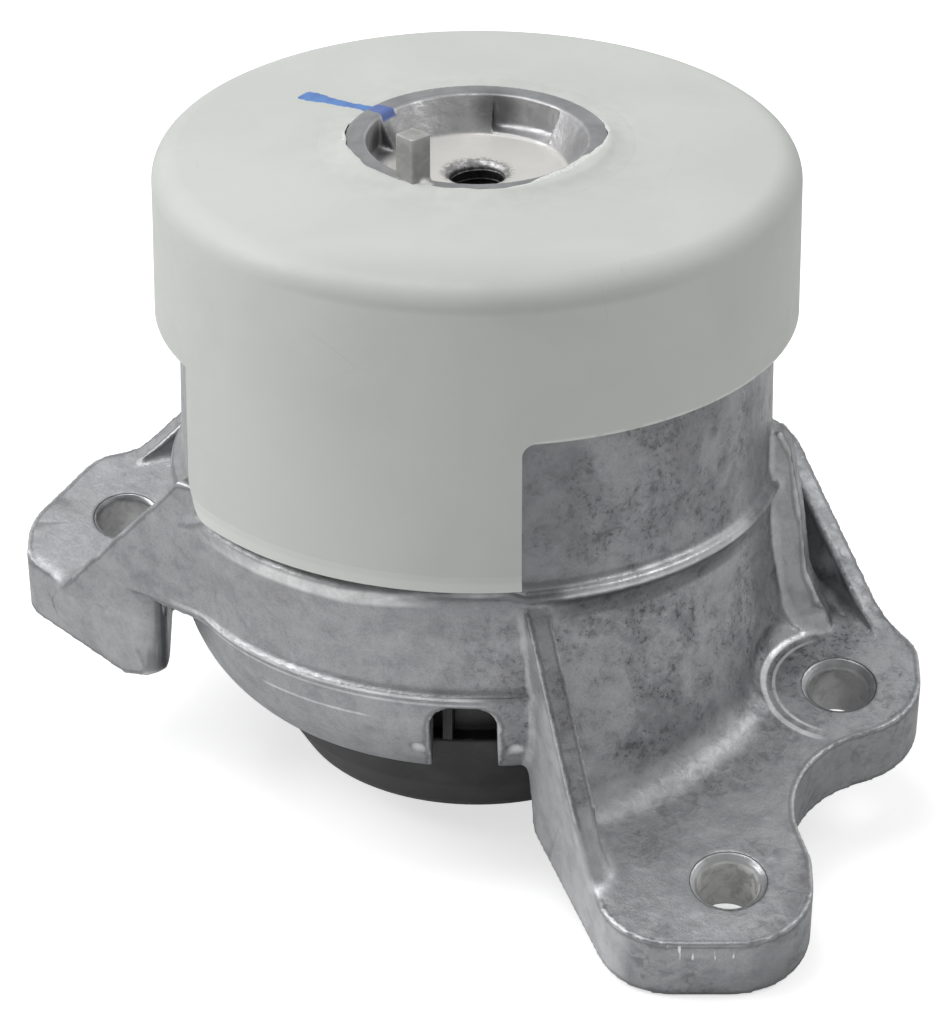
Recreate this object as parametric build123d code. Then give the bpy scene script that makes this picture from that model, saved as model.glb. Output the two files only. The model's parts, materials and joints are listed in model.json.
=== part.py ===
from build123d import *
import os
from math import asin, cos, degrees, hypot, radians, sin, sqrt, tan

# Hydraulic engine mount: a cast bracket with three ears around a drum, with the rubber spring,
# the fluid plates and the bellows stacked inside it, and a heat shield cap over the top.
# Millimetres. +Z is the drum's axis and -Y the side of the front ear. The origin is the upper
# end of the core's thread. A drop is a distance below the core's flat rim.

# Core
rim_radius = 24.6
rim_inner_radius = 20.9
recess_floor_radius = 17.0
recess_depth = 7.1
thread_radius = 5.15
thread_length = 24.0
thread_chamfer = 1.0
pocket_radius = 20.6
pocket_azimuths = ((-118, -62), (131, 171))
pocket_floor_gap = 0.6
peg_width = 4.8
peg_depth = 4.4
peg_height = 8.9
peg_azimuth = -33.0
peg_turn = -14.0
shoulder_radius = 28.0
shoulder_height = 7.5
neck_radius = 21.5
buffer_flange_radius = 34.0
buffer_flange_height = 5.0
core_cone_radius = 24.0
core_tip_radius = 13.0
core_length = 57.0

# Heat shield cap
cap_gap = 2.4
cap_wall = 1.7
cap_top_drop = 0.9
cap_edge_drop = 2.4
cap_edge_radius = 5.0
cap_wall_drop = 33.3
cap_flare = 0.3
cap_hole_clearance = 0.4
skirt_drop = 62.6
skirt_left_azimuth = -61.8
skirt_right_azimuth = 7.6
skirt_inner_corner = 2.5
skirt_left_corner = 7.5
hem_height = 2.9
hem_flare = 0.6

# Drum and bowl of the bracket
drum_radius = 56.3
drum_wall = 6.1
drum_top_drop = 13.0
drum_draft = 0.5
lip_radius = 46.0
lip_thickness = 2.5
step_drop = 64.6
step_width = 0.9
ridge_width = 1.3
ridge_height = 3.4
cove_depth = 0.5
cove_height = 7.0
bead_height = 1.9
bead_width = 1.2
bowl_top_drop = 88.6
bowl_bottom_drop = 107.6
bowl_bottom_radius = 47.0
bowl_wall = 4.0
bowl_bulge = 2.3
ledge_width = 4.7

# Ears, in a plane that falls towards the front ear
ear_tilt = 16.0
ear_drop = 93.0
ear_thickness = 14.0
ear_bore_radius = 5.5
ear_chamfer = 1.5
left_ear_chamfer = 0.8
front_hole = (45.9, -78.5)
right_hole = (68.6, -28.8)
left_hole = (-68.7, 17.2)
ear_radius = 15.5
corner_radius = 14.0
waist_radius = 20.0
spot_face_radius = 14.3
spot_face_height = 2.6
spot_face_spread = 2.4
flange_slope_drop = 74.0
flange_slope = 0.17
flange_fillet = 8.0
flange_clearance = 2.1
rib_thickness = 4.6
middle_rib_azimuth = 78.0
middle_rib_thickness = 5.0
web_thickness = 5.5
web_lean = 4.2
web_top_drop = 58.8
slot_width = 1.3
slot_drop = 88.6
tab_bottom_drop = 109.7
tab_bottom_start = 15.0
tab_bottom_rise = 0.336
nose_start = 18.5
nose_inset = 2.5
nose_radius = 4.2
nose_length = 18.0

# Window and stake marks at the bowl's bottom rim
window_width = 12.3
window_height = 18.2
window_corner = 4.0
window_azimuth = -2.6
stake_width = 2.6
stake_height = 2.6
stake_depth = 1.4
stake_skin = 6.5
stake_rise = 7.5
stake_azimuths = (-11.9, 7.4)

# Stack inside the drum
stack_clearance = 0.15
bond_gap = 0.05
stop_plate_thickness = 3.0
stop_plate_clearance = 1.5
sleeve_wall = 2.4
buffer_thickness = 3.4
upper_plate_thickness = 3.0
lower_plate_thickness = 7.0
bellows_bead = 2.5
clamp_thickness = 1.2
cup_flange_thickness = 2.5
channel_inner_radius = 36.0
channel_outer_radius = 45.0
channel_depth = 4.8
membrane_radius = 26.0
membrane_thickness = 2.6
membrane_clearance = 0.4
plate_hole_radius = 2.6
plate_hole_circles = ((9.0, 6), (18.5, 12))
spring_top_drop = 33.5
spring_gap = 2.3
bellows_wall = 1.6

# Base cup
cup_clearance = 0.8
cup_rib_depth = 4.0
cup_step_rise = 3.0
cup_depth = 20.4
cup_taper = 9.0
cup_wall = 2.2
cup_ribs = 24
cup_rib_thickness = 1.8
cup_rib_gap = 5.5

# Values worked out from the sizes above
rim_height = recess_depth + thread_chamfer
bore_radius = drum_radius - drum_wall
stack_radius = bore_radius - stack_clearance
lower_radius = drum_radius + step_width
cap_radius = drum_radius + cap_gap + cap_wall
slot_radius = lower_radius + slot_width
flange_inner_radius = bowl_bottom_radius + flange_clearance
sleeve_bore = stack_radius - sleeve_wall
stop_plate_drop = drum_top_drop + lip_thickness
sleeve_top_drop = stop_plate_drop + stop_plate_thickness
stack_height = (upper_plate_thickness + lower_plate_thickness + bellows_bead
                + clamp_thickness + cup_flange_thickness)
ledge_drop = bowl_top_drop - 2.1
upper_plate_drop = ledge_drop - stack_height
lower_plate_drop = upper_plate_drop + upper_plate_thickness
bead_drop = lower_plate_drop + lower_plate_thickness
clamp_drop = bead_drop + bellows_bead
cup_flange_drop = clamp_drop + clamp_thickness
spring_bottom_drop = upper_plate_drop - spring_gap
cup_body_radius = bowl_bottom_radius - bowl_wall - cup_clearance
cup_neck_radius = cup_body_radius - cup_rib_depth
cup_bottom_radius = cup_body_radius - cup_taper
cup_step_drop = bowl_bottom_drop - cup_step_rise
cup_bottom_drop = cup_step_drop + cup_depth
cup_rib_top_drop = ledge_drop + cup_rib_gap
cap_seat_drop = cap_top_drop + cap_wall
flange_drop = sleeve_top_drop + buffer_thickness + 4.1
core_flange_bottom = flange_drop + buffer_flange_height
ear_rise = tan(radians(ear_tilt))


def level(drop):
    """Height of what lies this far below the core's rim."""
    return rim_height - drop


def turned(points, radii=0):
    """Solid of revolution about the drum's axis from (radius, drop) corners."""
    corners = [(radius, level(drop)) for radius, drop in points]
    outline = FilletPolyline(*corners, radius=radii, close=True)
    return revolve(Plane.XZ * make_face(outline), Axis.Z)


def sector(inner, outer, top_drop, bottom_drop, start, end):
    """Part of a ring between two azimuths, counted from the front towards the right."""
    corners = [(inner, level(top_drop)), (outer, level(top_drop)),
               (outer, level(bottom_drop)), (inner, level(bottom_drop))]
    face = Plane.XZ * make_face(Polyline(*corners, close=True))
    return Rot(0, 0, start - 90) * revolve(face, Axis.Z, revolution_arc=end - start)


def around(azimuth, radius, drop, turn=0):
    """Location at an azimuth and radius, with its own Y pointing outwards."""
    place = Rot(0, 0, azimuth) * Pos(0, -radius, level(drop))
    return place * Rot(0, 0, 180 + turn)


ear_plane = Plane(
    origin=(0, 0, level(ear_drop)),
    x_dir=(1, 0, 0),
    z_dir=(0, -sin(radians(ear_tilt)), cos(radians(ear_tilt))),
)
ear_bottom = ear_plane.offset(-ear_thickness)


def ear_top_drop(y):
    """Drop of the ears' upper face at a distance y along the drum's plan."""
    return ear_drop - ear_rise * y


def ear_bottom_drop(y):
    """Drop of the ears' lower face at a distance y along the drum's plan."""
    return ear_top_drop(y) + ear_thickness / cos(radians(ear_tilt))


def prism(frame, points, thickness):
    """Solid from corners in a frame, grown along the frame's own Z."""
    face = frame * make_face(Polyline(*points, close=True))
    return extrude(face, amount=thickness, dir=frame.z_dir)


def plate(points, radii, height=0):
    """Flat plate of the ears' thickness below the ears' plane, and of a height above it."""
    face = ear_bottom * make_face(FilletPolyline(*points, radius=radii, close=True))
    return extrude(face, amount=ear_thickness + height, dir=ear_bottom.z_dir)


def tangent_run(foot, side):
    """Plan direction from a point outside the drum along the drum's tangent, and its length."""
    distance = hypot(foot[0], foot[1])
    turn = side * degrees(asin(drum_radius / distance))
    run = Vector(-foot[0], -foot[1], 0).normalized().rotate(Axis.Z, turn)
    return run, sqrt(distance ** 2 - drum_radius ** 2)


def tangent_rib(foot, side, top_line, thickness):
    """Upright rib from an ear's edge to the drum's tangent, inside the drum's width."""
    run, length = tangent_run(foot, side)
    frame = Plane(origin=(foot[0], foot[1], 0), x_dir=run, z_dir=run.cross(Vector(0, 0, 1)))
    corners = [(along, level(drop)) for along, drop in top_line]
    corners.append((length, level(top_line[-1][1])))
    corners.append((length, level(ear_top_drop(foot[1] + length * run.Y) + ear_thickness / 2)))
    corners.append((0, level(ear_top_drop(foot[1]) + ear_thickness / 2)))
    return prism(frame, corners, side * thickness)


def drum_body():
    """Drum, step, double bead and bowl as one solid, still without its bore."""
    top = (drum_radius - drum_draft, level(drum_top_drop))
    step = (drum_radius, level(step_drop))
    bead_foot = bowl_top_drop - bead_height - 0.9
    mid_radius = (lower_radius + bowl_bottom_radius) / 2 + bowl_bulge
    mid_drop = (bowl_top_drop + bowl_bottom_drop) / 2 + 0.4
    side = Polyline(
        (0, level(drum_top_drop)),
        top,
        step,
        (lower_radius + 0.7 * ridge_width, level(step_drop + 0.15 * ridge_height)),
        (lower_radius + ridge_width, level(step_drop + 0.4 * ridge_height)),
        (lower_radius + ridge_width, level(step_drop + 0.6 * ridge_height)),
        (lower_radius, level(step_drop + ridge_height)),
        (lower_radius - cove_depth, level(step_drop + ridge_height + 0.4 * cove_height)),
        (lower_radius, level(step_drop + ridge_height + cove_height)),
        (lower_radius, level(bead_foot)),
        (lower_radius + bead_width, level(bead_foot + 0.6)),
        (lower_radius + bead_width, level(bead_foot + 1.1)),
        (lower_radius, level(bead_foot + 1.6)),
        (lower_radius + bead_width / 2, level(bead_foot + 2.1)),
        (lower_radius, level(bowl_top_drop)),
    )
    bowl = ThreePointArc(
        (lower_radius, level(bowl_top_drop)),
        (mid_radius, level(mid_drop)),
        (bowl_bottom_radius, level(bowl_bottom_drop)),
    )
    bottom = Polyline(
        (bowl_bottom_radius, level(bowl_bottom_drop)),
        (0, level(bowl_bottom_drop)),
        (0, level(drum_top_drop)),
    )
    return revolve(Plane.XZ * make_face([side, bowl, bottom]), Axis.Z)


def drum_cavity():
    """Space inside the drum and the bowl, open at both ends."""
    inner_bottom = bowl_bottom_radius - bowl_wall
    return turned([
        (0, drum_top_drop - 5),
        (lip_radius, drum_top_drop - 5),
        (lip_radius, stop_plate_drop),
        (bore_radius, stop_plate_drop),
        (bore_radius, ledge_drop),
        (bore_radius - ledge_width, ledge_drop),
        (inner_bottom, bowl_bottom_drop),
        (inner_bottom, ear_bottom_drop(-drum_radius) + 30),
        (0, ear_bottom_drop(-drum_radius) + 30),
    ])


def right_flange():
    """Plate with the front and right ears, its slope up to the drum and its two ribs."""
    wall_start = (7.6, -45.6)
    wall_end = (21.5, -82.8)
    front_line = front_hole[1] - ear_radius
    side_line = front_hole[0] + ear_radius
    right_line = right_hole[0] + ear_radius + 0.2
    outline = plate(
        [
            (0, -30),
            wall_start,
            (25.7, front_line),
            (side_line, front_line),
            (side_line, front_hole[1] + 5.5),
            (side_line - 6.6, right_hole[1] - 20.7),
            (right_line, right_hole[1] - 7.6),
            (right_line, right_hole[1] + 9.8),
            (45.0, 38.0),
            (0, 30),
        ],
        [0, 0, corner_radius, ear_radius - 0.3, 10, waist_radius, ear_radius, 8, 0, 0],
        height=60,
    )
    cone_bottom = ear_drop + 30
    cone = turned([
        (0, flange_slope_drop),
        (lower_radius - 0.5, flange_slope_drop),
        (lower_radius - 0.5 + flange_slope * (cone_bottom - flange_slope_drop), cone_bottom),
        (0, cone_bottom),
    ])
    floor = extrude(ear_bottom * Circle(2 * drum_radius), amount=ear_thickness, dir=ear_bottom.z_dir)
    body = floor + cone
    foot = body.edges().filter_by(GeomType.ELLIPSE).sort_by(Axis(ear_plane.origin, ear_plane.z_dir))[-1]
    body = fillet(foot, flange_fillet) & outline

    start = ear_plane.from_local_coords((wall_start[0], wall_start[1], 0))
    end = ear_plane.from_local_coords((wall_end[0], wall_end[1], 0))
    run = (end - start).normalized()
    length = (end - start).length
    side = Plane(origin=start, x_dir=run, z_dir=run.cross(ear_plane.z_dir))
    profile = [
        (-6, -ear_thickness),
        (-6, 43.6),
        (0, 43.6),
        (length / 2, 19.5),
        (length - 3, 0),
        (length - 3, -ear_thickness),
    ]
    front_rib = prism(side, profile, -rib_thickness)
    back_rib = tangent_rib(
        (80.3, -12.5), -1,
        [(0, 97.2), (4.9, 94.3), (13.2, 85.7), (29.4, 68.7), (33.0, 67.0)],
        rib_thickness,
    )
    radial = Vector(0, -1, 0).rotate(Axis.Z, middle_rib_azimuth)
    crest = [(0, 55.5), (58.4, 55.5), (60.3, 58.8), (62.6, 71.3), (64.1, 84.1), (69.5, 97.0), (0, 97.0)]
    middle = Plane(origin=(0, 0, 0), x_dir=radial, z_dir=radial.cross(Vector(0, 0, 1)))
    middle_rib = prism(middle, [(radius, level(drop)) for radius, drop in crest], -middle_rib_thickness)
    return body + front_rib + back_rib + middle_rib


def left_ear():
    """Ear with its front web, its back rib and the slot that parts it from the bowl."""
    body = plate(
        [
            (-87.7, 5.2),
            (-87.7, 15.9),
            (-75.9, 33.8),
            (-21.0, 54.2),
            (0, 30),
            (0, -30),
            (-38.0, -39.6),
        ],
        [6, 14, 8, 0, 0, 0, 0],
    )
    foot = (-82.0, -1.3)
    run, length = tangent_run(foot, -1)
    out = run.cross(Vector(0, 0, 1))
    ends = []
    for along in (-2.0, 50.0):
        spot = Vector(foot[0], foot[1], 0) + run * along
        top = level(95.3 - 1.03 * along)
        low = level(ear_bottom_drop(spot.Y + web_lean))
        rear = out * web_thickness
        lean = out * web_lean
        flat = Vector(spot.X, spot.Y, 0)
        up = Vector(0, 0, 1)
        ends.append(Face(Wire.make_polygon([
            flat + up * top,
            flat - lean + up * low,
            flat - lean - rear + up * low,
            flat - rear + up * top,
        ])))
    web = loft(ends, ruled=True)
    web = web & Pos(0, 0, level(web_top_drop)) * Box(
        4 * drum_radius, 4 * drum_radius, 4 * drum_radius, align=(Align.CENTER, Align.CENTER, Align.MAX))
    rib = tangent_rib(
        (-75.9, 32.5), 1,
        [(8.0, 83.5), (11.5, 81.3), (18.0, 76.3), (27.0, 69.0)],
        rib_thickness,
    )
    ear = body + web + rib
    slot = sector(bowl_bottom_radius - 6, slot_radius, slot_drop, 135, -120, -30)
    return ear - slot - tab_cuts(foot, run, out)


def tab_cuts(foot, run, out):
    """Cuts that round the nose of the tab beside the slot and level its bottom."""
    far = drum_radius
    deep = tab_bottom_drop + ear_thickness
    end = Plane(origin=(foot[0], foot[1], level(slot_drop)), x_dir=run, z_dir=(0, 0, 1))
    middle = Vector(nose_start, nose_inset + nose_radius)
    side = middle + Vector(run.X, -run.Y) * nose_radius
    back = side + Vector(run.Y, run.X) * nose_length
    between = middle + Vector(0.5, -sqrt(0.75)) * nose_radius
    front = middle - Vector(0, nose_radius)
    outline = make_face([
        Polyline(front, (nose_start, -web_thickness), (far, -web_thickness), (far, back.Y), back, side),
        ThreePointArc(side, between, front),
    ])
    right = extrude(end * outline, amount=deep - slot_drop, dir=(0, 0, -1))
    face = Plane(origin=(foot[0], foot[1], 0), x_dir=run, z_dir=out)
    below = [
        (tab_bottom_start, level(tab_bottom_drop)),
        (far, level(tab_bottom_drop - tab_bottom_rise * (far - tab_bottom_start))),
        (far, level(deep)),
        (tab_bottom_start, level(deep)),
    ]
    return right + prism(face.offset(-2 * ear_thickness), below, 3 * ear_thickness)


def bracket_casting():
    """Cast bracket: drum, bowl and ears in one piece."""
    body = drum_body() + right_flange() + left_ear()
    body = body - drum_cavity()
    below_bowl = turned([
        (0, bowl_bottom_drop),
        (flange_inner_radius, bowl_bottom_drop),
        (flange_inner_radius, 150),
        (0, 150),
    ])
    body = body - below_bowl
    for hole in (front_hole, right_hole):
        body = body - bolt_hole(hole, ear_chamfer)
    body = body - bolt_hole(left_hole, left_ear_chamfer)
    body = body - spot_face()
    body = body - window()
    for azimuth in stake_azimuths:
        body = body - stake_mark(azimuth)
    return body


def bolt_hole(centre, chamfer):
    """Ear bore with a chamfer at both ends."""
    wide = ear_bore_radius + chamfer
    over = 1.0
    corners = [
        (0, over),
        (wide + over, over),
        (ear_bore_radius, -chamfer),
        (ear_bore_radius, chamfer - ear_thickness),
        (wide + over, -ear_thickness - over),
        (0, -ear_thickness - over),
    ]
    cutter = revolve(Plane.XZ * make_face(Polyline(*corners, close=True)), Axis.Z)
    return ear_plane.location * Pos(centre[0], centre[1], 0) * cutter


def spot_face():
    """Tapered seat for the bolt head at the right ear, cut into the flange's slope."""
    corners = [
        (0, 0),
        (spot_face_radius, 0),
        (spot_face_radius + spot_face_spread, spot_face_height),
        (spot_face_radius + spot_face_spread, 30),
        (0, 30),
    ]
    cutter = revolve(Plane.XZ * make_face(Polyline(*corners, close=True)), Axis.Z)
    return ear_plane.location * Pos(right_hole[0], right_hole[1], 0) * cutter


def window():
    """Arched opening in the bowl's wall, open at the bottom rim."""
    half = window_width / 2
    outline = FilletPolyline(
        (-half, -10), (half, -10), (half, window_height), (-half, window_height),
        radius=[0, 0, window_corner, window_corner], close=True,
    )
    face = Plane.XZ * make_face(outline)
    block = extrude(face, amount=bowl_bottom_radius + 20)
    return Rot(0, 0, window_azimuth) * Pos(0, 0, level(bowl_bottom_drop)) * block


def stake_mark(azimuth):
    """Punched notch at the bowl's rim that holds the base cup in."""
    block = Box(stake_width, 2 * stake_depth, stake_height)
    drop = bowl_bottom_drop - stake_rise
    return around(azimuth, bowl_bottom_radius + stake_skin, drop) * block


def heat_shield_cap():
    """Thin cap with a rounded top edge, a short wall and a skirt on one side."""
    hole = rim_radius + cap_hole_clearance
    flat = shoulder_radius + 1.0
    inner = cap_radius - cap_wall
    wall_foot = cap_radius + cap_flare
    body = turned(
        [
            (hole, cap_top_drop),
            (flat, cap_top_drop),
            (cap_radius, cap_edge_drop),
            (wall_foot, skirt_drop - hem_height),
            (wall_foot + hem_flare, skirt_drop),
            (wall_foot + hem_flare - cap_wall, skirt_drop),
            (wall_foot - cap_wall, skirt_drop - hem_height),
            (inner, cap_edge_drop + cap_wall),
            (flat, cap_seat_drop),
            (hole, cap_seat_drop),
        ],
        [0, 0, cap_edge_radius, 0, 0, 0, 0, cap_edge_radius - cap_wall, 0, 0],
    )
    away = sector(inner - 4, cap_radius + 6, cap_wall_drop, skirt_drop + 5,
                  skirt_right_azimuth, 360 + skirt_left_azimuth)
    away = away - corner_block(skirt_right_azimuth, cap_wall_drop, skirt_inner_corner, False)
    body = body - away
    return body - corner_block(skirt_left_azimuth, skirt_drop, skirt_left_corner, True)


def corner_block(azimuth, drop, radius, upwards):
    """Block between a square corner at the cap's wall and its rounding, to the right of an azimuth."""
    height = radius if upwards else -radius
    face = make_face([
        Line((0, height), (0, 0)),
        Line((0, 0), (radius, 0)),
        RadiusArc((radius, 0), (0, height), radius if upwards else -radius),
    ])
    block = extrude(Plane.XZ * face, amount=cap_wall * 3, both=True)
    return Rot(0, 0, azimuth) * Pos(0, -cap_radius, level(drop)) * block


def core():
    """Cast core with its recess, wall pockets, peg and threaded hole."""
    body = turned([
        (0, core_length),
        (core_tip_radius, core_length),
        (core_cone_radius, core_flange_bottom),
        (buffer_flange_radius, core_flange_bottom),
        (buffer_flange_radius, flange_drop),
        (neck_radius, flange_drop),
        (neck_radius, cap_seat_drop + shoulder_height),
        (shoulder_radius, cap_seat_drop + shoulder_height),
        (shoulder_radius, cap_seat_drop),
        (rim_radius, cap_seat_drop),
        (rim_radius, 0),
        (rim_inner_radius, 0),
        (recess_floor_radius, recess_depth),
        (0, recess_depth),
    ])
    pocket_bottom = recess_depth - pocket_floor_gap
    for start, end in pocket_azimuths:
        body = body - sector(recess_floor_radius - 2, pocket_radius, 0.5, pocket_bottom, start, end)
    thread = turned([
        (0, recess_depth - 1),
        (thread_radius + 2 * thread_chamfer, recess_depth - thread_chamfer),
        (thread_radius, recess_depth + thread_chamfer),
        (thread_radius, recess_depth + thread_chamfer + thread_length),
        (0, recess_depth + thread_chamfer + thread_length + thread_radius / 2),
    ])
    body = body - thread
    peg = Box(peg_width, peg_depth, peg_height + 3, align=(Align.CENTER, Align.MAX, Align.MIN))
    place = around(peg_azimuth, rim_radius - 0.3, 3.0, peg_turn)
    return body + place * peg


def main_spring():
    """Rubber spring between the core's cone and the sleeve."""
    slope = (core_cone_radius - core_tip_radius) / (core_length - core_flange_bottom)
    top_radius = core_cone_radius - slope * (spring_top_drop - core_flange_bottom) + bond_gap
    outer = sleeve_bore - bond_gap
    return turned(
        [
            (top_radius, spring_top_drop),
            (top_radius + 8, spring_top_drop + 0.5),
            (outer - 7, spring_top_drop + 10),
            (outer, spring_top_drop + 10),
            (outer, spring_bottom_drop),
            (outer - 4, spring_bottom_drop),
            (outer - 14, core_length + 1.5),
            (core_tip_radius + bond_gap + 5, core_length - 0.5),
            (core_tip_radius + bond_gap, core_length),
        ],
        [0, 3, 4, 0, 0, 1, 4, 1, 0],
    )


def spring_sleeve():
    """Steel sleeve that carries the rubber spring and stands on the upper plate."""
    return turned(
        [
            (sleeve_bore, sleeve_top_drop),
            (stack_radius, sleeve_top_drop),
            (stack_radius, upper_plate_drop),
            (sleeve_bore, upper_plate_drop),
        ],
        0.5,
    )


def rebound_stop_plate():
    """Steel plate under the rolled lip, which stops the core's upward travel."""
    inner = shoulder_radius + stop_plate_clearance
    return turned(
        [
            (inner, stop_plate_drop),
            (stack_radius, stop_plate_drop),
            (stack_radius, sleeve_top_drop),
            (inner, sleeve_top_drop),
        ],
        0.6,
    )


def rebound_buffer():
    """Rubber ring on the core's flange."""
    top = flange_drop - buffer_thickness
    return turned(
        [
            (neck_radius + 1.0, top),
            (buffer_flange_radius - 1.5, top),
            (buffer_flange_radius, flange_drop),
            (neck_radius + 1.0, flange_drop),
        ],
        [0.8, 1.2, 0, 0],
    )


def upper_channel_plate():
    """Upper fluid plate with a ring of holes and the port into the channel."""
    body = turned([
        (0, upper_plate_drop),
        (stack_radius, upper_plate_drop),
        (stack_radius, lower_plate_drop),
        (0, lower_plate_drop),
    ])
    body = body - hole_field(upper_plate_drop - 1, lower_plate_drop + 1)
    port = sector(channel_inner_radius + 1, channel_outer_radius - 1,
                  upper_plate_drop - 1, lower_plate_drop + 1, 12, 32)
    return body - port


def lower_channel_plate():
    """Lower fluid plate with the ring channel, the membrane's seat and the outlet port."""
    seat_drop = lower_plate_drop + membrane_thickness + membrane_clearance
    body = turned([
        (0, seat_drop),
        (membrane_radius + membrane_clearance, seat_drop),
        (membrane_radius + membrane_clearance, lower_plate_drop),
        (stack_radius, lower_plate_drop),
        (stack_radius, bead_drop),
        (0, bead_drop),
    ])
    channel = sector(channel_inner_radius, channel_outer_radius,
                     lower_plate_drop - 1, lower_plate_drop + channel_depth, 10, 350)
    outlet = sector(channel_inner_radius + 1, channel_outer_radius - 2,
                    lower_plate_drop, bead_drop + 1, 330, 348)
    body = body - channel - outlet
    return body - hole_field(lower_plate_drop, bead_drop + 1)


def hole_field(top_drop, bottom_drop):
    """Round holes on circles about the axis, from one drop to another."""
    depth = bottom_drop - top_drop
    hole = Pos(0, 0, level(bottom_drop)) * Cylinder(
        plate_hole_radius, depth, align=(Align.CENTER, Align.CENTER, Align.MIN))
    holes = [Rot(0, 0, 360 * k / count) * Pos(radius, 0, 0) * hole
             for radius, count in plate_hole_circles for k in range(count)]
    return holes


def decoupler_membrane():
    """Loose rubber disc between the two fluid plates."""
    bottom = lower_plate_drop + membrane_thickness + membrane_clearance
    return turned(
        [
            (0, bottom - membrane_thickness),
            (membrane_radius, bottom - membrane_thickness),
            (membrane_radius, bottom),
            (0, bottom),
        ],
        [0, 0.8, 0.8, 0],
    )


def bellows():
    """Thin rubber bellows hung from its clamped bead."""
    reach = cup_neck_radius - cup_wall - 1.0
    depth = bead_drop + 24
    outer = [
        (stack_radius, bead_drop),
        (stack_radius, clamp_drop),
        (reach, clamp_drop),
        (reach - 0.6, depth),
        (reach - 9, depth + 1),
        (reach - 17, depth - 12),
        (0, depth - 13),
    ]
    inner = [
        (0, depth - 13 - bellows_wall),
        (reach - 17 + bellows_wall, depth - 12 - bellows_wall),
        (reach - 8, depth + 1 - 2 * bellows_wall),
        (reach - 0.6 - bellows_wall, depth - bellows_wall),
        (reach - bellows_wall, clamp_drop),
        (reach - bellows_wall, bead_drop),
    ]
    return turned(outer + inner, [0, 0, 0, 3, 3, 3, 0, 0, 1.4, 1.4, 1.4, 1, 0])


def bellows_clamp_ring():
    """Steel ring between the bellows' bead and the base cup."""
    return turned([
        (cup_neck_radius + 0.5, clamp_drop),
        (stack_radius, clamp_drop),
        (stack_radius, cup_flange_drop),
        (cup_neck_radius + 0.5, cup_flange_drop),
    ])


def base_cup():
    """Plastic cup under the bellows, with ribs behind the bowl's window."""
    floor = cup_bottom_drop - cup_wall
    inside = cup_neck_radius - cup_wall
    body = turned(
        [
            (inside, cup_flange_drop),
            (stack_radius, cup_flange_drop),
            (stack_radius, ledge_drop),
            (cup_neck_radius, ledge_drop),
            (cup_neck_radius, cup_step_drop),
            (cup_body_radius, cup_step_drop),
            (cup_body_radius - 0.5, cup_step_drop + 4),
            (cup_body_radius - 4.0, cup_bottom_drop - 8),
            (cup_bottom_radius, cup_bottom_drop),
            (0, cup_bottom_drop + 0.4),
            (0, floor),
            (cup_bottom_radius - 1, floor - 0.3),
            (cup_body_radius - 6.6, cup_bottom_drop - 9),
            (cup_body_radius - cup_wall - 0.4, cup_step_drop + 4),
            (cup_body_radius - cup_wall - 0.2, cup_step_drop + cup_wall),
            (inside, cup_step_drop + cup_wall),
        ],
        [0, 0, 0, 0.5, 0.5, 0.6, 6, 5, 5, 0, 0, 4, 4, 4, 0.5, 0.5],
    )
    height = cup_step_drop - cup_rib_top_drop
    depth = cup_body_radius - cup_neck_radius
    rib = Box(cup_rib_thickness, depth + 1, height,
              align=(Align.CENTER, Align.MIN, Align.MIN))
    ribs = [Rot(0, 0, 360 * (k + 0.5) / cup_ribs) * Pos(0, cup_neck_radius - 1, level(cup_step_drop)) * rib
            for k in range(cup_ribs)]
    return body + ribs


pieces = {
    "bracket_casting": bracket_casting,
    "heat_shield_cap": heat_shield_cap,
    "core": core,
    "main_spring": main_spring,
    "spring_sleeve": spring_sleeve,
    "rebound_stop_plate": rebound_stop_plate,
    "rebound_buffer": rebound_buffer,
    "upper_channel_plate": upper_channel_plate,
    "lower_channel_plate": lower_channel_plate,
    "decoupler_membrane": decoupler_membrane,
    "bellows": bellows,
    "bellows_clamp_ring": bellows_clamp_ring,
    "base_cup": base_cup,
}

os.makedirs("parts", exist_ok=True)
for name, make in pieces.items():
    export_step(make(), f"parts/{name}.step")
    print(name)
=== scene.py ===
# %% [markdown]
# # Engine mount: making a casting look cast
#
# A hydraulic engine mount carries the engine on a rubber spring inside a cast aluminium bracket. The
# measured solids come from the frame: a drum with three bolt ears, a pale heat shield cap over it, a
# cast core in the cap's hole and a black cup under the bowl. Those shapes have knife edges and one
# even grey, and a real casting has neither. This lesson softens the castings, cuts the thread, lays
# the cap's lip over the core's rim and builds a finish for every piece.
#
# Everything is in metres here. +Z is the drum's axis, -Y the side of the front ear.

# %% The frame
import json

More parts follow.
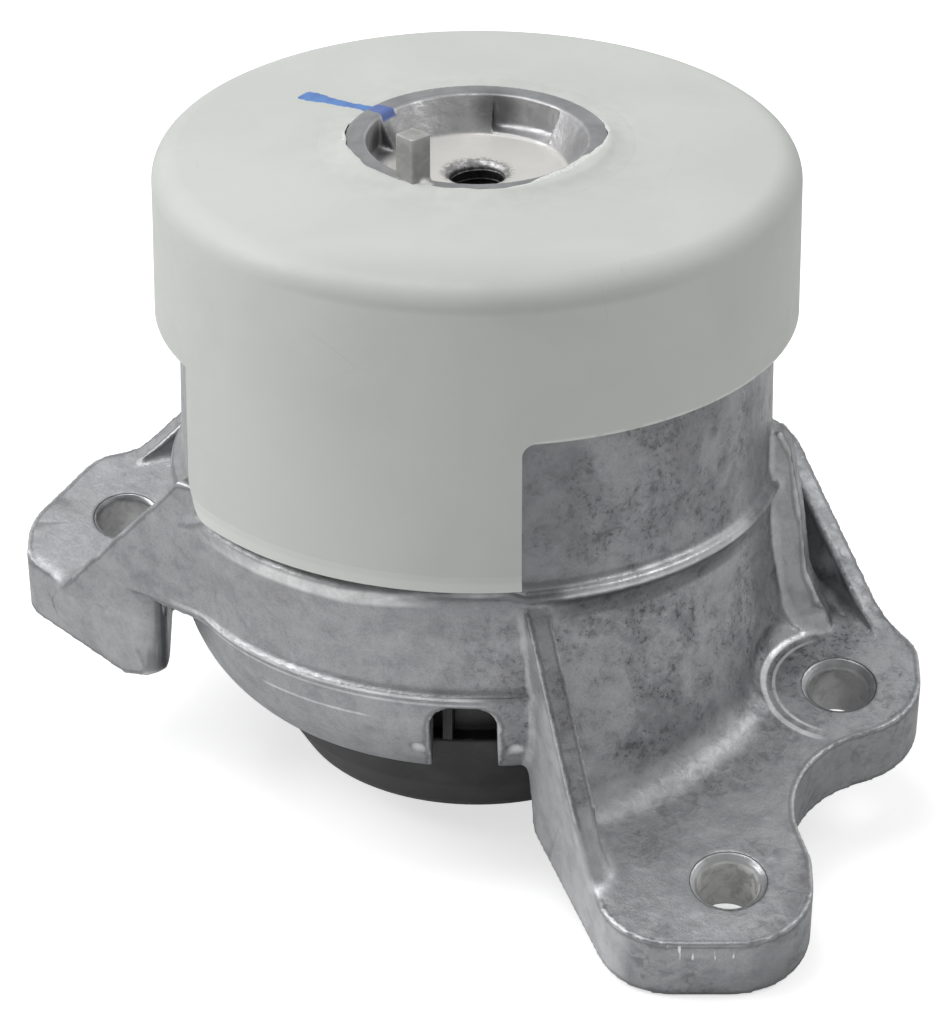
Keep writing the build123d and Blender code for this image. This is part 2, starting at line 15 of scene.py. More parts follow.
import bpy
import numpy as np
from math import atan2, cos, degrees, hypot, pi, radians, sin
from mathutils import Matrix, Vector


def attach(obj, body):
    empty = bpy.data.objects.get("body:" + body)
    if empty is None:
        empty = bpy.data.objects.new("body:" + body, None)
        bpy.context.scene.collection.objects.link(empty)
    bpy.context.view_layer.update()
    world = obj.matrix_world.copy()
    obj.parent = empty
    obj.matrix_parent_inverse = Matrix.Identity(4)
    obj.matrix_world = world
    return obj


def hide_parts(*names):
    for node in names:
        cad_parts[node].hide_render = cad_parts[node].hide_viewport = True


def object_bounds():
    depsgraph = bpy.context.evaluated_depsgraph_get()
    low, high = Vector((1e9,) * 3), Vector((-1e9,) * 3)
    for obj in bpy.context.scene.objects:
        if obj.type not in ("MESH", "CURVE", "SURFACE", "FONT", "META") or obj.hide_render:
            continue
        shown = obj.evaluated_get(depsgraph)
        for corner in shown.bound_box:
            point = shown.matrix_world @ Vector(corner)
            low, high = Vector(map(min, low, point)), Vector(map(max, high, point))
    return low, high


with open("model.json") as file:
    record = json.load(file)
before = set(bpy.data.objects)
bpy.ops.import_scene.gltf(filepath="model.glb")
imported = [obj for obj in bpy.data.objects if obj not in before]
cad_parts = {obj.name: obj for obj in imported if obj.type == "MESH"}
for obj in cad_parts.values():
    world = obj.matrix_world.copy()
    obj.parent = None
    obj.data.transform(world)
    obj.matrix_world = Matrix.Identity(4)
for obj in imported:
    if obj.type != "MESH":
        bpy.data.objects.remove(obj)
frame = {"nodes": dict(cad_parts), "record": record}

cad_low, cad_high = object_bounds()
print("nodes:", sorted(frame["nodes"]))
print("box from", [round(v, 4) for v in cad_low], "to", [round(v, 4) for v in cad_high])

# %% Sizes that the pieces share
MM = 0.001
RIM_HEIGHT = 8.1 * MM
CAP_TOP = RIM_HEIGHT - 0.9 * MM
STEP_HEIGHT = RIM_HEIGHT - 64.6 * MM
EAR_TILT = radians(16)
EAR_UP = Vector((0, -sin(EAR_TILT), cos(EAR_TILT)))
EAR_THICKNESS = 14.0 * MM
middles = {mount["name"]: Vector(mount["pos_m"]) for mount in frame["record"]["mounts"]}
FRONT_BORE, RIGHT_BORE, LEFT_BORE = (
    middles[side + "_ear_bore"] + EAR_UP * EAR_THICKNESS / 2 for side in ("front", "right", "left"))
print("front bore's mouth at", [round(v / MM, 1) for v in FRONT_BORE], "mm")

# %% [markdown]
# ## Camera
#
# The photograph was taken from a little under a metre, 28 degrees above the horizon, straight
# towards the front ear's side. A long lens gives the mount its nearly even scale from top to foot.
# The rings of the drum and the cap fix the place and the lens.

# %% Camera
lens = bpy.data.cameras.new("studio_camera")
lens.lens = 175.78
lens.sensor_width = 36.0
lens.dof.use_dof = False
lens.clip_start = 0.01
lens.clip_end = 50.0
camera = bpy.data.objects.new("studio_camera", lens)
bpy.context.scene.collection.objects.link(camera)
camera.location = (-0.00046, -0.8493, 0.3811)
camera.rotation_euler = (radians(62.0), 0, 0)
bpy.context.scene.camera = camera
print("camera at", [round(v, 3) for v in camera.location])

# %% [markdown]
# ## Floor, room and lamps
#
# A catalogue picture like this one is taken on a white table with large soft lamps. The light comes
# mostly from the upper left, so the left wall of the cap is bright and the right one falls off. The
# side of the room where the camera stands is dim, and that gives bare metal its darker fronts. White
# in the background comes from the floor's and the room's colour, so the lamps stay at a level at
# which a colour renders about as it is written.

# %% Light levels
bpy.context.scene.view_settings.view_transform = "Standard"
ROOM_LIGHT = 0.30
ROOM_IN_METAL = 0.12
BACK_IN_METAL = 0.86
TABLE_GLOW = 0.66
TABLE_GLOW_IN_METAL = 0.1
LAMP_ABOVE = 5.0
LAMP_LEFT = 5.5
LAMP_RIGHT = 2.2
print("lamps", LAMP_ABOVE, LAMP_LEFT, LAMP_RIGHT)

# %% A short way to wire nodes
def add_node(tree, kind, **settings):
    """A new node of this kind with its plain settings made."""
    made = tree.nodes.new(kind)
    for name, value in settings.items():
        setattr(made, name, value)
    return made


def feed(tree, socket, value):
    """Set an input to a number or a colour, or wire another node's output to it."""
    if isinstance(value, bpy.types.NodeSocket):
        tree.links.new(value, socket)
    elif socket.type == "RGBA" and len(value) == 3:
        socket.default_value = (*value, 1.0)
    else:
        socket.default_value = value


def calc(tree, operation, *values):
    """The result of a Math node."""
    made = add_node(tree, "ShaderNodeMath", operation=operation)
    for socket, value in zip(made.inputs, values):
        feed(tree, socket, value)
    return made.outputs[0]


def spread(tree, value, start, end, low=0.0, high=1.0):
    """A value moved smoothly from one range to another."""
    made = add_node(tree, "ShaderNodeMapRange", interpolation_type="SMOOTHSTEP")
    feed(tree, made.inputs["Value"], value)
    for socket, number in (("From Min", start), ("From Max", end), ("To Min", low), ("To Max", high)):
        feed(tree, made.inputs[socket], number)
    return made.outputs["Result"]


def times(tree, first, *others):
    """Values multiplied together."""
    for value in others:
        first = calc(tree, "MULTIPLY", first, value)
    return first


def most(tree, first, *others):
    """The largest of some values."""
    for value in others:
        first = calc(tree, "MAXIMUM", first, value)
    return first


def kept(tree, name):
    """A number that the mesh keeps for each point."""
    return add_node(tree, "ShaderNodeAttribute", attribute_name=name).outputs["Fac"]


# %% Room
room = bpy.data.worlds.new("studio_room")
room.use_nodes = True
bpy.context.scene.world = room
walls = room.node_tree
backdrop = walls.nodes["Background"]
ray = add_node(walls, "ShaderNodeLightPath")
compass = add_node(walls, "ShaderNodeSeparateXYZ")
feed(walls, compass.inputs[0], add_node(walls, "ShaderNodeTexCoord").outputs["Generated"])
mirrored = spread(walls, compass.outputs["Y"], -0.8, 0.5, ROOM_IN_METAL, BACK_IN_METAL)
glint = times(walls, ray.outputs["Is Glossy Ray"], mirrored)
seen = most(walls, ray.outputs["Is Camera Ray"], ray.outputs["Is Transmission Ray"], glint)
feed(walls, backdrop.inputs["Strength"], most(walls, seen, ROOM_LIGHT))
backdrop.inputs["Color"].default_value = (1.0, 1.0, 1.0, 1.0)
print("room light", ROOM_LIGHT)

# %% Table
bpy.ops.object.select_all(action="DESELECT")
bpy.ops.mesh.primitive_plane_add(size=8.0, location=(0, 0, cad_low[2] - 0.0002))
table = bpy.context.object
table.name = "studio_table"
table_top = bpy.data.materials.new("white_table")
table_top.use_nodes = True
surface = table_top.node_tree
white = surface.nodes["Principled BSDF"]
white.inputs["Base Color"].default_value = (0.82, 0.82, 0.82, 1)
white.inputs["Roughness"].default_value = 0.9
white.inputs["Specular IOR Level"].default_value = 0.0
white.inputs["Emission Color"].default_value = (1, 1, 1, 1)
path = add_node(surface, "ShaderNodeLightPath")
direct = most(surface, path.outputs["Is Camera Ray"], path.outputs["Is Transmission Ray"])
direct = times(surface, direct, TABLE_GLOW)
shine = times(surface, path.outputs["Is Glossy Ray"], TABLE_GLOW_IN_METAL)
feed(surface, white.inputs["Emission Strength"], most(surface, direct, shine))
table.data.materials.append(table_top)
print("table at", round(table.location.z, 4))

# %% Lamps
def soft_lamp(name, place, aim, width, height, power):
    """A rectangular soft box at a place, turned towards a point."""
    box = bpy.data.lights.new(name, "AREA")
    box.shape = "RECTANGLE"
    box.size = width
    box.size_y = height
    box.energy = power
    lamp = bpy.data.objects.new(name, box)
    bpy.context.scene.collection.objects.link(lamp)
    lamp.location = place
    lamp.rotation_euler = (Vector(aim) - Vector(place)).to_track_quat("-Z", "Y").to_euler()
    print(name, "power", power)


soft_lamp("lamp_above", (-0.25, -0.1, 1.1), (0, 0, 0), 0.7, 0.5, LAMP_ABOVE)
soft_lamp("lamp_left", (-0.9, -0.05, 0.7), (0, 0, -0.05), 0.6, 0.6, LAMP_LEFT)
soft_lamp("lamp_right", (0.9, -0.1, 0.8), (0, 0, -0.05), 0.5, 0.5, LAMP_RIGHT)

# %% [markdown]
# ## Softening a casting
#
# Molten aluminium doesn't fill a sharp corner: every edge of the real bracket is round, and every
# inner corner is filled with a fillet. The CAD solid has the right faces but sharp edges. Bevelling
# each edge by hand is slow and breaks where webs meet, so the whole surface is rebuilt instead. A
# copy of the solid is merged, remeshed into small even cells, smoothed a few times, which rounds
# edges and fills corners by the same amount, and thinned where it is flat.
#
# Inner corners of a casting are rounder than its edges, because the metal has to flow round them.
# To find them, the copy is smoothed far too much. Where that sinks the surface there is an edge, and
# where it lifts the surface there is a corner. The surface goes back to its shape, and the corners
# alone are smoothed again through a vertex group. The same measure is then taken once more and kept
# as the attribute edge_convexity, for the finish: it paints highlights on the edges and shade in the
# corners.

# %% Numbers for each point of a mesh
def point_array(mesh, kind="co"):
    """Places or normals of a mesh's points as rows of three."""
    flat = np.zeros(len(mesh.vertices) * 3, np.float32)
    mesh.vertices.foreach_get(kind, flat)
    return flat.reshape(-1, 3)


def evened(mesh, values, passes):
    """Values of a mesh's points, averaged with their neighbours a few times."""
    ends = np.zeros(len(mesh.edges) * 2, np.int32)
    mesh.edges.foreach_get("vertices", ends)
    first, second = ends[0::2], ends[1::2]
    count = len(values)
    neighbours = np.bincount(first, minlength=count) + np.bincount(second, minlength=count)
    for _ in range(passes):
        total = np.bincount(first, values[second], count) + np.bincount(second, values[first], count)
        values = 0.4 * values + 0.6 * total / np.maximum(neighbours, 1)
    return values


def keep(mesh, name, values):
    """Keep one number for each point of a mesh as an attribute."""
    made = mesh.attributes.new(name, "FLOAT", "POINT")
    made.data.foreach_set("value", values.astype(np.float32))


def ramp(value, start, end):
    """0 before the start of a range, 1 past its end and smooth between them."""
    part = np.clip((value - start) / (end - start), 0, 1)
    return part * part * (3 - 2 * part)


def band(value, low, high, fade):
    """1 between two values, fading outside them."""
    return ramp(value, low - fade, low) * ramp(value, high + fade, high)


# %% Smoothing, everywhere or by a weight
EDGE_PASSES = 3
CORNER_PASSES = 60
PLACE_PASSES = 90
WEAR_PASSES = 14
BORE_KEPT = 8.5 * MM


def smooth_by(piece, passes, group=""):
    """Apply a Smooth modifier with this many passes, over all points or over a vertex group."""
    rounding = piece.modifiers.new("rounding", "SMOOTH")
    rounding.factor = 0.5
    rounding.iterations = passes
    rounding.vertex_group = group
    bpy.ops.object.modifier_apply(modifier="rounding")


def smooth_where(piece, weight, passes):
    """Smooth a piece by a weight from 0 to 1 for each point, in steps of a fifth."""
    group = piece.vertex_groups.new(name="weight")
    steps = np.round(weight * 5).astype(int)
    for step in range(1, 6):
        group.add(np.nonzero(steps == step)[0].tolist(), step / 5, "REPLACE")
    smooth_by(piece, passes, group.name)
    piece.vertex_groups.clear()
    print("  smoothed", int((steps > 0).sum()), "points again")


def edge_height(piece, passes):
    """How far each point stands above a far too smooth copy of its surface: edges above 0."""
    shape = point_array(piece.data).copy()
    outward = point_array(piece.data, "normal").copy()
    smooth_by(piece, passes)
    height = ((shape - point_array(piece.data)) * outward).sum(axis=1)
    piece.data.vertices.foreach_set("co", shape.ravel())
    return height


def fill_corners(piece, cell):
    """Fillet the inner corners outside the bores."""
    height = edge_height(piece, CORNER_PASSES)
    weight = np.clip((-height / cell - 0.25) / 0.6, 0, 1)
    axis = np.array(EAR_UP)
    for bore in (FRONT_BORE, RIGHT_BORE, LEFT_BORE):
        away = np.linalg.norm(np.cross(point_array(piece.data) - np.array(bore), axis), axis=1)
        weight[away < BORE_KEPT] = 0
    smooth_where(piece, weight, CORNER_PASSES)


def blend_places(piece, places):
    """Smooth a piece strongly round a few places, each a point with a full and an outer reach."""
    shape = point_array(piece.data)
    weight = np.zeros(len(shape))
    for place, full, none in places:
        away = np.linalg.norm(shape - np.array(place) * MM, axis=1) / MM
        weight = np.maximum(weight, ramp(away, none, full))
    smooth_where(piece, weight, PLACE_PASSES)


# %% [markdown]
# ## The bracket's own shapes
#
# Two things of the real bracket go beyond round edges. The bowl's upper edge is a full round shoulder
# at the left of the skirt, and it catches the lamp as the brightest streak of the casting, so the
# points there are pushed outwards and lifted a little under the skirt. And the webs run out on the
# ears without a step, so their ends get many more passes of smoothing.
#
# Some faces of the bracket get painted light, a paler colour where the lamps fall on them: the outer
# side of the front web, the front of the middle rib, the foot of the slope and the left ear's side. A
# face is found by the direction it looks in and by where it is, and kept as the attribute
# painted_lit_face. The right ears' outer sides and the groove beside the middle rib get painted
# shade, and painted_shade_side keeps those.

# %% Shoulder, and faces with painted light and shade
SHOULDER = 2.4 * MM
STEP_LIFT = 1.5 * MM
WEB_SIDE = np.array((-0.937, -0.35, 0))
RIB_SIDE = np.array((-0.208, -0.978, 0))


def swell_shoulder(piece):
    """Push the bowl's upper edge out, so that it is a round shoulder at the left of the skirt."""
    shape = point_array(piece.data).copy()
    radius = np.hypot(shape[:, 0], shape[:, 1])
    turn = np.degrees(np.arctan2(shape[:, 0], -shape[:, 1]))
    drop = STEP_HEIGHT - shape[:, 2]
    skin = ramp(radius, 54 * MM, 55 * MM) * ramp(radius, 62 * MM, 60 * MM)
    under_skirt = ramp(turn, -66, -60) * ramp(turn, 9, 5)
    lift = skin * under_skirt * ramp(drop, -6 * MM, -0.5 * MM) * ramp(drop, 9 * MM, 1 * MM)
    shape[:, 2] += STEP_LIFT * lift
    here = ramp(turn, -76, -56) * ramp(turn, -6, -26)
    bulge = ramp(drop, -0.4 * MM, 3.4 * MM) * ramp(drop, 15 * MM, 5 * MM)
    push = 1 + SHOULDER * skin * here * bulge / np.maximum(radius, MM)
    shape[:, 0] *= push
    shape[:, 1] *= push
    piece.data.vertices.foreach_set("co", shape.ravel())


def mark_lit_and_shaded_faces(piece):
    """Keep the painted light on faces that look towards the lamps, and the painted shade on the right ears'
    sides and the groove, at each point.
    """
    x, y, z = (point_array(piece.data) / MM).T
    normal = point_array(piece.data, "normal").copy()
    right, back, up = normal.T
    # Painted light: faces that look towards the lamps, found by their direction and place.
    web = ramp(normal @ WEB_SIDE, 0.35, 0.6) * band(x, 3, 25, 3) * ramp(y, -42, -47) * ramp(z, -60, -66)
    rib = ramp(normal @ RIB_SIDE, 0.4, 0.7) * band(x, 56, 68, 2) * band(y, -20, -6, 3)
    rib = rib * band(z, -96, -44, 2)
    foot = ramp(up, 0.15, 0.4) * ramp(up, 0.97, 0.8) * band(x, 22, 62, 5)
    foot = foot * band(y, -74, -40, 4) * band(z, -106, -84, 3)
    tab = ramp(-back, 0.6, 0.9) * ramp(x, -58, -62) * ramp(z, -84, -88)
    lit_face = np.max((0.8 * web, 1.3 * rib, 0.55 * foot, 0.35 * tab), axis=0)
    keep(piece.data, "painted_lit_face", lit_face)
    # Painted shade: the right ears' outer sides and the groove beside the middle rib.
    side = ramp(right, 0.1, 0.5) * ramp(abs(up), 0.6, 0.3) * ramp(x, 30, 40) * ramp(z, -84, -90)
    turn = np.degrees(np.arctan2(x, -y))
    groove = band(turn, 65, 70, 3) * band(z, -76, -44, 3) * ramp(np.hypot(x, y), 62, 60)
    keep(piece.data, "painted_shade_side", np.maximum(0.3 * side, 0.6 * groove))
    print("  clean points:", int((lit_face > 0.3).sum()))


# %% Copy, rebuild and hand over a casting
def remeshed_copy(node, cell):
    """A merged copy of a CAD node, rebuilt from small even cells."""
    bpy.ops.object.select_all(action="DESELECT")
    source = frame["nodes"][node]
    copy = source.copy()
    copy.data = source.data.copy()
    copy.parent = None
    copy.name = node + "_cast"
    copy.data.materials.clear()
    bpy.context.scene.collection.objects.link(copy)
    for key in list(copy.keys()):
        del copy[key]
    copy.select_set(True)
    bpy.context.view_layer.objects.active = copy
    bpy.ops.object.mode_set(mode="EDIT")
    bpy.ops.mesh.select_all(action="SELECT")
    bpy.ops.mesh.remove_doubles(threshold=0.00001)
    bpy.ops.object.mode_set(mode="OBJECT")
    cells = copy.modifiers.new("cells", "REMESH")
    cells.mode = "VOXEL"
    cells.voxel_size = cell
    bpy.ops.object.modifier_apply(modifier="cells")
    return copy


def round_off(piece, cell):
    """Round all edges a little, and the inner corners more."""
    smooth_by(piece, EDGE_PASSES)
    fill_corners(piece, cell)


def hand_over(piece, node, cell, most_triangles):
    """Keep the edges' height for the finish, thin the mesh and let it stand for the CAD node."""
    height = evened(piece.data, edge_height(piece, WEAR_PASSES), 6)
    keep(piece.data, "edge_convexity", height / cell)
    faces = 2 * len(piece.data.polygons)
    if faces > most_triangles:
        thin = piece.modifiers.new("thin", "DECIMATE")
        thin.ratio = most_triangles / faces
        bpy.ops.object.modifier_apply(modifier="thin")
    bpy.ops.object.shade_smooth()
    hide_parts(node)
    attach(piece, "root")
    print(node, "has", len(piece.data.polygons), "faces after rounding, from", faces, "triangles")


# %% The bracket, cast
BRACKET_CELL = 0.5 * MM
WEB_ENDS = (((24.0, -71.8, -105.0), 6, 12), ((-80.7, 2.8, -84.0), 4, 9), ((-67.5, -12.2, -88.3), 3, 6))
bracket = remeshed_copy("bracket_casting", BRACKET_CELL)
swell_shoulder(bracket)
round_off(bracket, BRACKET_CELL)
blend_places(bracket, WEB_ENDS)
mark_lit_and_shaded_faces(bracket)
hand_over(bracket, "bracket_casting", BRACKET_CELL, 192000)

# %% The core, cast
CORE_CELL = 0.34 * MM
core = remeshed_copy("core", CORE_CELL)
round_off(core, CORE_CELL)
hand_over(core, "core", CORE_CELL, 150000)

# %% [markdown]
# ## The core's thread
#
# The threaded hole in the core is the part's main fixing, and its crests catch a little light just
# under the chamfer. A tooth outline is turned round the axis by the Screw modifier, which climbs one
# pitch a turn. That makes one true helix, and not a stack of rings.

# %% Thread
PITCH = 1.75 * MM
BORE = 5.15 * MM


def flat_outline(name, corners):
    """A closed outline in the XZ plane as a mesh object, from (x, z) corners."""
    mesh = bpy.data.meshes.new(name)
    count = len(corners)
    mesh.from_pydata([(x, 0, z) for x, z in corners], [(i, (i + 1) % count) for i in range(count)], [])
    outline = bpy.data.objects.new(name, mesh)
    bpy.context.scene.collection.objects.link(outline)
    bpy.ops.object.select_all(action="DESELECT")
    outline.select_set(True)
    bpy.context.view_layer.objects.active = outline
    return outline


thread = flat_outline("core_thread", [
    (BORE + 0.9 * MM, -0.75 * PITCH),
    (BORE + 0.9 * MM, 0.15 * PITCH),
    (BORE - 0.1 * MM, -0.2 * PITCH),
    (BORE - 0.1 * MM, -0.4 * PITCH),
])
climb = thread.modifiers.new("climb", "SCREW")
climb.axis = "Z"
climb.angle = 2 * pi
climb.screw_offset = -PITCH
climb.iterations = 12
climb.steps = 40
climb.render_steps = 40
climb.use_normal_calculate = True
bpy.ops.object.modifier_apply(modifier="climb")
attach(thread, "root")
print("thread reaches down to", round(min(v.co.z for v in thread.data.vertices) / MM, 1), "mm")

# %% [markdown]
# ## The cap's lip
#
# The cap's hole has a thin uneven edge. At the front right it covers the whole rim of the core, and
# elsewhere it only touches it. A circle is added just under the cap's top and extruded inwards in
# steps that rise towards the rim, and once more over it. The inner loop then gets the radius that the
# photograph shows in each direction, with small waves where the sheet is torn. At the back the lip
# lies flat on the cap. Solidify gives the sheet its thickness, and the inner loop is kept as the
# attribute worn_edge, because the paint is off there.

# %% Lip radius by direction
LIP = [(-180, 24.6), (-140, 24.6), (-99, 24.7), (-86, 24.3), (-64, 23.9), (-52, 24.3), (-46, 24.0),
       (-35, 24.3), (-26, 23.8), (-16, 24.0), (-8, 23.7), (1, 23.9), (12, 24.0), (19, 23.6), (31, 21.8),
       (40, 21.3), (47, 21.1), (56, 21.1), (65, 21.2), (73, 22.2), (80, 23.2), (97, 24.4), (110, 24.6),
       (150, 24.6), (180, 24.6)]


def between(pairs, wanted):
    """Value at a place between the pairs of a table."""
    for (start, low), (end, high) in zip(pairs, pairs[1:]):
        if start <= wanted <= end:
            return low + (high - low) * (wanted - start) / (end - start)
    return pairs[-1][1]


def azimuth(point):
    """Direction from the front towards the right, in degrees."""
    return degrees(atan2(point.x, -point.y))


print("lip reaches in to", min(radius for _, radius in LIP), "mm")


# %% Lip
LIP_STEPS = ((28.4, 0.1), (27.0, 0.25), (25.8, 0.4), (25.1, 0.35), (24.7, 0.15))
INNER_LOOP = 23.0


def ring_edges(piece, radius):
    """Select only the open loop of points at this radius."""
    bpy.ops.object.mode_set(mode="OBJECT")
    for edge in piece.data.edges:
        edge.select = False
    for face in piece.data.polygons:
        face.select = False
    for point in piece.data.vertices:
        point.select = abs(hypot(point.co.x, point.co.y) - radius) < 0.02 * MM
    bpy.ops.object.mode_set(mode="EDIT")


bpy.ops.object.select_all(action="DESELECT")
bpy.ops.mesh.primitive_circle_add(vertices=180, radius=30.0 * MM, location=(0, 0, CAP_TOP - 0.2 * MM))
lip = bpy.context.object
lip.name = "cap_lip"
bpy.ops.object.transform_apply(location=True, rotation=False, scale=False)
bpy.ops.object.mode_set(mode="EDIT")
bpy.ops.mesh.select_mode(type="VERT")
loop = 30.0
for radius, rise in LIP_STEPS:
    ring_edges(lip, loop * MM)
    bpy.ops.mesh.extrude_region_move(TRANSFORM_OT_translate={"value": (0, 0, rise * MM)})
    bpy.ops.transform.resize(value=(radius / loop, radius / loop, 1), center_override=(0, 0, 0))
    loop = radius
ring_edges(lip, loop * MM)
bpy.ops.mesh.extrude_region_move(TRANSFORM_OT_translate={"value": (0, 0, 0.05 * MM)})
bpy.ops.transform.resize(value=(INNER_LOOP / loop, INNER_LOOP / loop, 1), center_override=(0, 0, 0))
bpy.ops.object.mode_set(mode="OBJECT")
for point in lip.data.vertices:
    if abs(hypot(point.co.x, point.co.y) - INNER_LOOP * MM) < 0.02 * MM:
        turn = azimuth(point.co)
        wave = 0.16 * sin(radians(turn) * 17) + 0.12 * sin(radians(turn) * 31 + 1.3)
        reach = (between(LIP, turn) + wave) / INNER_LOOP
        point.co.x *= reach
        point.co.y *= reach
flat_top = CAP_TOP + 0.1 * MM
for point in lip.data.vertices:
    back = max(0.0, min(1.0, (abs(azimuth(point.co)) - 95) / 25))
    if point.co.z > flat_top:
        point.co.z = flat_top + (point.co.z - flat_top) * (1 - back)
worn = lip.data.attributes.new("worn_edge", "FLOAT", "POINT")
inner_loop = [float(abs(hypot(point.co.x, point.co.y) - between(LIP, azimuth(point.co)) * MM) < 0.4 * MM
                    and point.co.z > CAP_TOP) for point in lip.data.vertices]
worn.data.foreach_set("value", inner_loop)
sheet = lip.modifiers.new("sheet", "SOLIDIFY")
sheet.thickness = 0.35 * MM
sheet.offset = 0
bpy.ops.object.modifier_apply(modifier="sheet")
soft = lip.modifiers.new("soft", "SUBSURF")
soft.levels = 1
soft.render_levels = 1
bpy.ops.object.modifier_apply(modifier="soft")
bpy.ops.object.shade_smooth()
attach(lip, "root")
print("lip has", len(lip.data.polygons), "faces")

# %% [markdown]
# ## Tools for the finishes
#
# Every finish below is built from the same few steps: a place on the piece, noise at a few sizes,
# a smooth switch between two colours, and a bump. They read Object coordinates, which here are the
# mount's own metres, so the grain keeps its real size on every piece.

# %% Steps of a finish
def new_finish(name, metallic, roughness):
    """A material, its node tree and its shader."""
    made = bpy.data.materials.new(name)
    made.use_nodes = True
    shader = made.node_tree.nodes["Principled BSDF"]
    shader.inputs["Metallic"].default_value = metallic
    shader.inputs["Roughness"].default_value = roughness
    return made, made.node_tree, shader


def own_place(tree):
    """The place on the piece, in the mount's own metres."""
    return add_node(tree, "ShaderNodeTexCoord").outputs["Object"]


def axes(tree, where):
    """The three numbers of a place."""
    parts = add_node(tree, "ShaderNodeSeparateXYZ")
    feed(tree, parts.inputs[0], where)
    return parts.outputs["X"], parts.outputs["Y"], parts.outputs["Z"]


def noise(tree, where, size, detail=4.0, roughness=0.55, distortion=0.0):
    """Noise whose blots are about this many millimetres wide."""
    made = add_node(tree, "ShaderNodeTexNoise")
    feed(tree, made.inputs["Vector"], where)
    made.inputs["Scale"].default_value = 1000.0 / size
    made.inputs["Detail"].default_value = detail
    made.inputs["Roughness"].default_value = roughness
    made.inputs["Distortion"].default_value = distortion
    return made.outputs[0]


def tint(tree, factor, first, second, way="MIX"):
    """One colour turned into another by a factor."""
    made = add_node(tree, "ShaderNodeMix", data_type="RGBA", blend_type=way)
    feed(tree, made.inputs[0], factor)
    feed(tree, made.inputs[6], first)
    feed(tree, made.inputs[7], second)
    return made.outputs[2]


def bumps(tree, shader, *layers):
    """Bumps laid over each other, each a height from 0 to 1 and its depth in millimetres."""
    normal = None
    for height, depth in layers:
        made = add_node(tree, "ShaderNodeBump")
        feed(tree, made.inputs["Height"], height)
        made.inputs["Strength"].default_value = 1.0
        made.inputs["Distance"].default_value = depth * MM
        if normal is not None:
            feed(tree, made.inputs["Normal"], normal)
        normal = made.outputs[0]
    feed(tree, shader.inputs["Normal"], normal)


def near(tree, where, point, full, none):
    """1 within a distance of a point, fading to 0 at another, in millimetres."""
    away = add_node(tree, "ShaderNodeVectorMath", operation="DISTANCE")
    feed(tree, away.inputs[0], where)
    away.inputs[1].default_value = point
    return spread(tree, away.outputs["Value"], full * MM, none * MM, 1.0, 0.0)


def from_bore(tree, where, bore, tilted=True):
    """Distance from the axis of a bore, and height along it, in metres."""
    axis = EAR_UP if tilted else (0, 0, 1)
    offset = add_node(tree, "ShaderNodeVectorMath", operation="SUBTRACT")
    feed(tree, offset.inputs[0], where)
    offset.inputs[1].default_value = bore
    up = add_node(tree, "ShaderNodeVectorMath", operation="DOT_PRODUCT")
    feed(tree, up.inputs[0], offset.outputs[0])
    up.inputs[1].default_value = axis
    across = add_node(tree, "ShaderNodeVectorMath", operation="CROSS_PRODUCT")
    feed(tree, across.inputs[0], offset.outputs[0])
    across.inputs[1].default_value = axis
    reach = add_node(tree, "ShaderNodeVectorMath", operation="LENGTH")
    feed(tree, reach.inputs[0], across.outputs[0])
    return reach.outputs["Value"], up.outputs["Value"]


# %% [markdown]
# ## Cast aluminium
#
# The bracket is die cast and not painted. Its skin is a pale grey, mottled by the flow of the metal
# with darker patches a few centimetres wide, small blots and specks of release agent, and a fine
# grain that spreads every highlight. The drum under the cap's cut-out is the most stained, and the
# ears' tops have thin cracks in that skin. The skin is built from noises of six sizes, each turned
# into one kind of mark and laid over the colour below it. Painted shade then darkens the drum under
# the cut-out and beside the skirt, and the ears' tops.

# %% Colours and heights of the casting
PALE_CAST = (0.43, 0.437, 0.45)
GREY_CAST = (0.36, 0.367, 0.38)
# Paler colour of the painted light on faces towards the lamps.
LIT_FACE_CAST = (0.74, 0.745, 0.755)
BORE_WALL = (0.86, 0.855, 0.83)
# Dark patches of the skin, and painted shade.
DARK_CAST_AND_SHADE = (0.18, 0.185, 0.195)
BRIGHT_CAST = (0.58, 0.585, 0.6)
WARM_CAST = (0.36, 0.345, 0.335)
# Soot and specks, and painted shade beside edges, in corners and in hollows.
SOOT_AND_SHADE = (0.09, 0.09, 0.095)
# Polished scratches, and painted highlights.
POLISHED_AND_HIGHLIGHT = (0.95, 0.955, 0.96)
MACHINED = (0.55, 0.555, 0.56)
CAST_METAL = 0.8
STEP = STEP_HEIGHT / MM
BEAD = (RIM_HEIGHT / MM) - 86.7
# Boxes of painted shade under the cut-out and beside the skirt, and the ears' tops, which get painted shade
# as well as patches and cracks.
UNDER_CUT_OUT = ((6, -70, -55), (90, 40, 0), 12)
BESIDE_SKIRT = ((-10, -70, -54), (14, -30, 0), 14)
EAR_TOPS = ((28, -120, -125), (100, 20, -88), 5)
EAR_FACE = ((34, -100, -114.4), (50, -89, -111.6), 0.8)
STAKES = ((-10.9 * MM, -51.9 * MM, -92 * MM), (6.8 * MM, -52.6 * MM, -92 * MM))
print("step at", round(STEP, 1), "mm, bead at", round(BEAD, 1), "mm")


# %% Masks by place
def within(tree, value, low, high, fade):
    """1 between two heights or places in millimetres, fading outside them."""
    rise = spread(tree, value, (low - fade) * MM, low * MM)
    return times(tree, rise, spread(tree, value, (high + fade) * MM, high * MM))


def box_mask(tree, place, low, high, fade):
    """1 inside a box in millimetres, fading outside it."""
    return times(tree, *(within(tree, *side, fade) for side in zip(place, low, high)))


def facing(tree, turn, start, full, last, none):
    """1 over a range of directions round the drum in degrees, fading at both ends."""
    rise = spread(tree, turn, radians(start), radians(full))
    return times(tree, rise, spread(tree, turn, radians(none), radians(last)))


